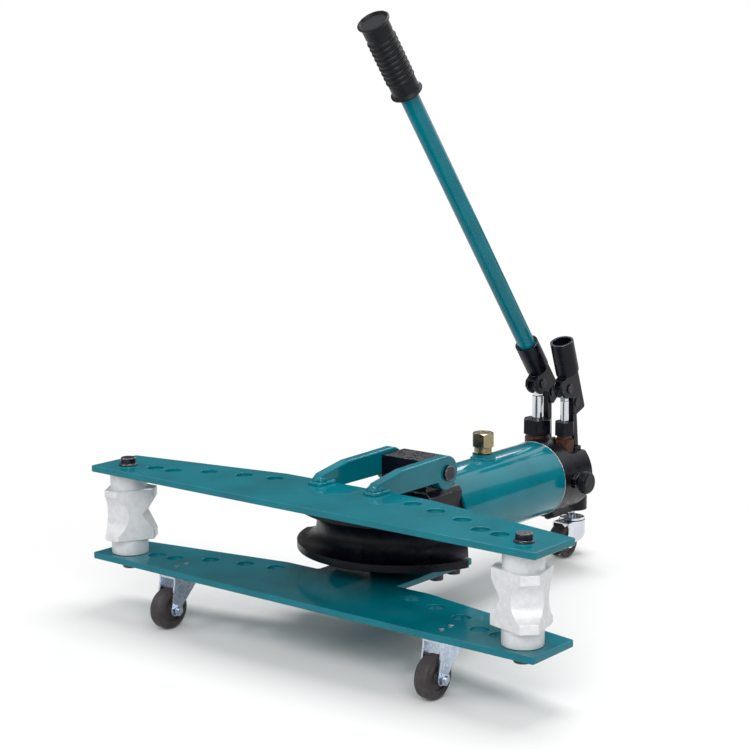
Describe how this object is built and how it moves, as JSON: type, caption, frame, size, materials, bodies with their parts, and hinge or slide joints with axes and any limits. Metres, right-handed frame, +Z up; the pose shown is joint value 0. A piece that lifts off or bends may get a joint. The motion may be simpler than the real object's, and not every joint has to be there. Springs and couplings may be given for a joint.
{
  "type": "hydraulic pipe bender",
  "caption": "Free-standing hydraulic pipe bender: open wings with grooved rollers and pin holes, a curved die on a horizontal ram, and a hand pump with two levers, on small casters.",
  "frame": {"origin": "centre of the bounding box at floor level", "axes": "+X along the wings towards the release valve's side, +Y back along the ram towards the pump, +Z up"},
  "size_m": [0.67, 0.6504, 0.7488],
  "materials": {
    "teal_enamel": "gloss enamel",
    "black_enamel": "satin enamel",
    "black_casting": "painted sand casting",
    "grey_casting": "bare sand casting",
    "dark_steel": "oiled steel",
    "bright_steel": "turned steel",
    "zinc_plate": "zinc plated",
    "yellow_zinc": "yellow passivated zinc",
    "brown_steel": "blued and slightly rusted",
    "chrome_plate": "polished",
    "bronze": "turned",
    "grey_rubber": "moulded",
    "black_grip": "moulded",
    "seal_rubber": "moulded"
  },
  "bodies": {
    "base": {"lower_wing": "teal_enamel", "upper_wing": "teal_enamel", "hinge_arm_left": "teal_enamel", "hinge_arm_right": "teal_enamel", "hinge_pin": "dark_steel", "head_block": "black_enamel", "tongue_screws": "dark_steel", "reservoir_tube": "teal_enamel", "pressure_cylinder": "bright_steel", "filler_boss": "teal_enamel", "filler_seal": "seal_rubber", "guide_bush": "bronze", "rod_seal": "seal_rubber", "pump_body": "black_casting", "link_pins": "dark_steel", "valve_base_left": "brown_steel", "valve_base_right": "brown_steel", "gland_nut_left": "black_enamel", "gland_nut_right": "black_enamel", "plunger_seal_left": "seal_rubber", "plunger_seal_right": "seal_rubber", "release_valve": "dark_steel", "relief_plug": "dark_steel", "caster_foot": "black_casting", "foot_screws": "dark_steel", "front_bracket_left": "zinc_plate", "front_bracket_right": "zinc_plate", "front_axle_bolts": "zinc_plate", "front_axle_nuts": "zinc_plate", "caster_screws": "zinc_plate", "rear_stem": "zinc_plate", "rear_ring": "chrome_plate", "return_spring": "dark_steel"},
    "ram": {"ram": "chrome_plate", "piston_seal": "seal_rubber", "bending_die": "black_casting"},
    "roller_left": {"roller_left": "grey_casting"},
    "roller_right": {"roller_right": "grey_casting"},
    "roller_pin_left": {"roller_pin_left": "dark_steel"},
    "roller_pin_right": {"roller_pin_right": "dark_steel"},
    "link_left": {"lever_link_left": "black_enamel"},
    "link_right": {"lever_link_right": "black_enamel"},
    "lever_left": {"lever_socket_left": "black_enamel", "fulcrum_pin_left": "dark_steel"},
    "lever_right": {"lever_socket_right": "black_enamel", "fulcrum_pin_right": "dark_steel"},
    "plunger_left": {"plunger_left": "chrome_plate", "plunger_pin_left": "dark_steel"},
    "plunger_right": {"plunger_right": "chrome_plate", "plunger_pin_right": "dark_steel"},
    "handle": {"handle_tube": "teal_enamel", "handle_grip": "black_grip"},
    "release_knob": {"release_knob": "black_enamel"},
    "filler_cap": {"filler_cap": "yellow_zinc"},
    "front_wheel_left": {"front_wheel_left": "grey_rubber"},
    "front_wheel_right": {"front_wheel_right": "grey_rubber"},
    "rear_swivel": {"rear_hood": "chrome_plate", "rear_axle": "zinc_plate"},
    "rear_wheel_left": {"rear_wheel_left": "grey_rubber"},
    "rear_wheel_right": {"rear_wheel_right": "grey_rubber"}
  },
  "joints": [
    {"name": "ram_slide", "type": "slide", "parent": "base", "child": "ram", "axis": [0, -1, 0], "range_m": [0, 0.18], "deforming": ["return_spring"]},
    {"name": "roller_left_spin", "type": "hinge", "parent": "base", "child": "roller_left", "pos_m": [-0.3, -0.27025, 0.1265], "axis": [0, 0, 1], "continuous": true},
    {"name": "roller_pin_left_lift", "type": "slide", "parent": "base", "child": "roller_pin_left", "axis": [0, 0, 1], "range_m": [0, 0.14]},
    {"name": "roller_right_spin", "type": "hinge", "parent": "base", "child": "roller_right", "pos_m": [0.3, -0.27025, 0.1265], "axis": [0, 0, 1], "continuous": true},
    {"name": "roller_pin_right_lift", "type": "slide", "parent": "base", "child": "roller_pin_right", "axis": [0, 0, 1], "range_m": [0, 0.14]},
    {"name": "link_left_swing", "type": "hinge", "parent": "base", "child": "link_left", "pos_m": [-0.022, 0.27175, 0.159], "axis": [1, 0, 0], "range_deg": [-3.83, 1.76]},
    {"name": "lever_left_pump", "type": "hinge", "parent": "link_left", "child": "lever_left", "pos_m": [-0.022, 0.26955, 0.23697], "axis": [1, 0, 0], "range_deg": [-12.5, 29]},
    {"name": "plunger_left_slide", "type": "slide", "parent": "base", "child": "plunger_left", "axis": [0, 0, 1], "range_m": [-0.01126, 0.00485]},
    {"name": "link_right_swing", "type": "hinge", "parent": "base", "child": "link_right", "pos_m": [0.022, 0.27175, 0.159], "axis": [1, 0, 0], "range_deg": [-8.18, 1.72]},
    {"name": "lever_right_pump", "type": "hinge", "parent": "link_right", "child": "lever_right", "pos_m": [0.022, 0.26378, 0.22774], "axis": [1, 0, 0], "range_deg": [-8, 42]},
    {"name": "plunger_right_slide", "type": "slide", "parent": "base", "child": "plunger_right", "axis": [0, 0, 1], "range_m": [-0.01301, 0.00248]},
    {"name": "handle_pull", "type": "slide", "parent": "lever_left", "child": "handle", "axis": [0, -0.6211, 0.7837], "range_m": [0, 0.06]},
    {"name": "release_turn", "type": "hinge", "parent": "base", "child": "release_knob", "pos_m": [0.06, 0.22775, 0.1265], "axis": [1, 0, 0], "range_deg": [0, 360]},
    {"name": "filler_cap_turn", "type": "hinge", "parent": "base", "child": "filler_cap", "pos_m": [0, 0.08175, 0.1865], "axis": [0, 0, 1], "range_deg": [0, 360]},
    {"name": "front_wheel_left_spin", "type": "hinge", "parent": "base", "child": "front_wheel_left", "pos_m": [-0.203, -0.30025, 0.025], "axis": [1, 0, 0], "continuous": true},
    {"name": "front_wheel_right_spin", "type": "hinge", "parent": "base", "child": "front_wheel_right", "pos_m": [0.203, -0.30025, 0.025], "axis": [1, 0, 0], "continuous": true},
    {"name": "rear_swivel_turn", "type": "hinge", "parent": "base", "child": "rear_swivel", "pos_m": [0, 0.30475, 0.048], "axis": [0, 0, 1], "continuous": true},
    {"name": "rear_wheel_left_spin", "type": "hinge", "parent": "rear_swivel", "child": "rear_wheel_left", "pos_m": [0, 0.28075, 0.023], "axis": [1, 0, 0], "continuous": true},
    {"name": "rear_wheel_right_spin", "type": "hinge", "parent": "rear_swivel", "child": "rear_wheel_right", "pos_m": [0, 0.28075, 0.023], "axis": [1, 0, 0], "continuous": true}
  ],
  "couplings": [
    {"joint": "link_left_swing", "follows": "plunger_left_slide", "rad_per_m": 5.618},
    {"joint": "lever_left_pump", "follows": "plunger_left_slide", "rad_per_m": -44.944},
    {"joint": "link_right_swing", "follows": "plunger_right_slide", "rad_per_m": 10.704},
    {"joint": "lever_right_pump", "follows": "plunger_right_slide", "rad_per_m": -56.338}
  ]
}
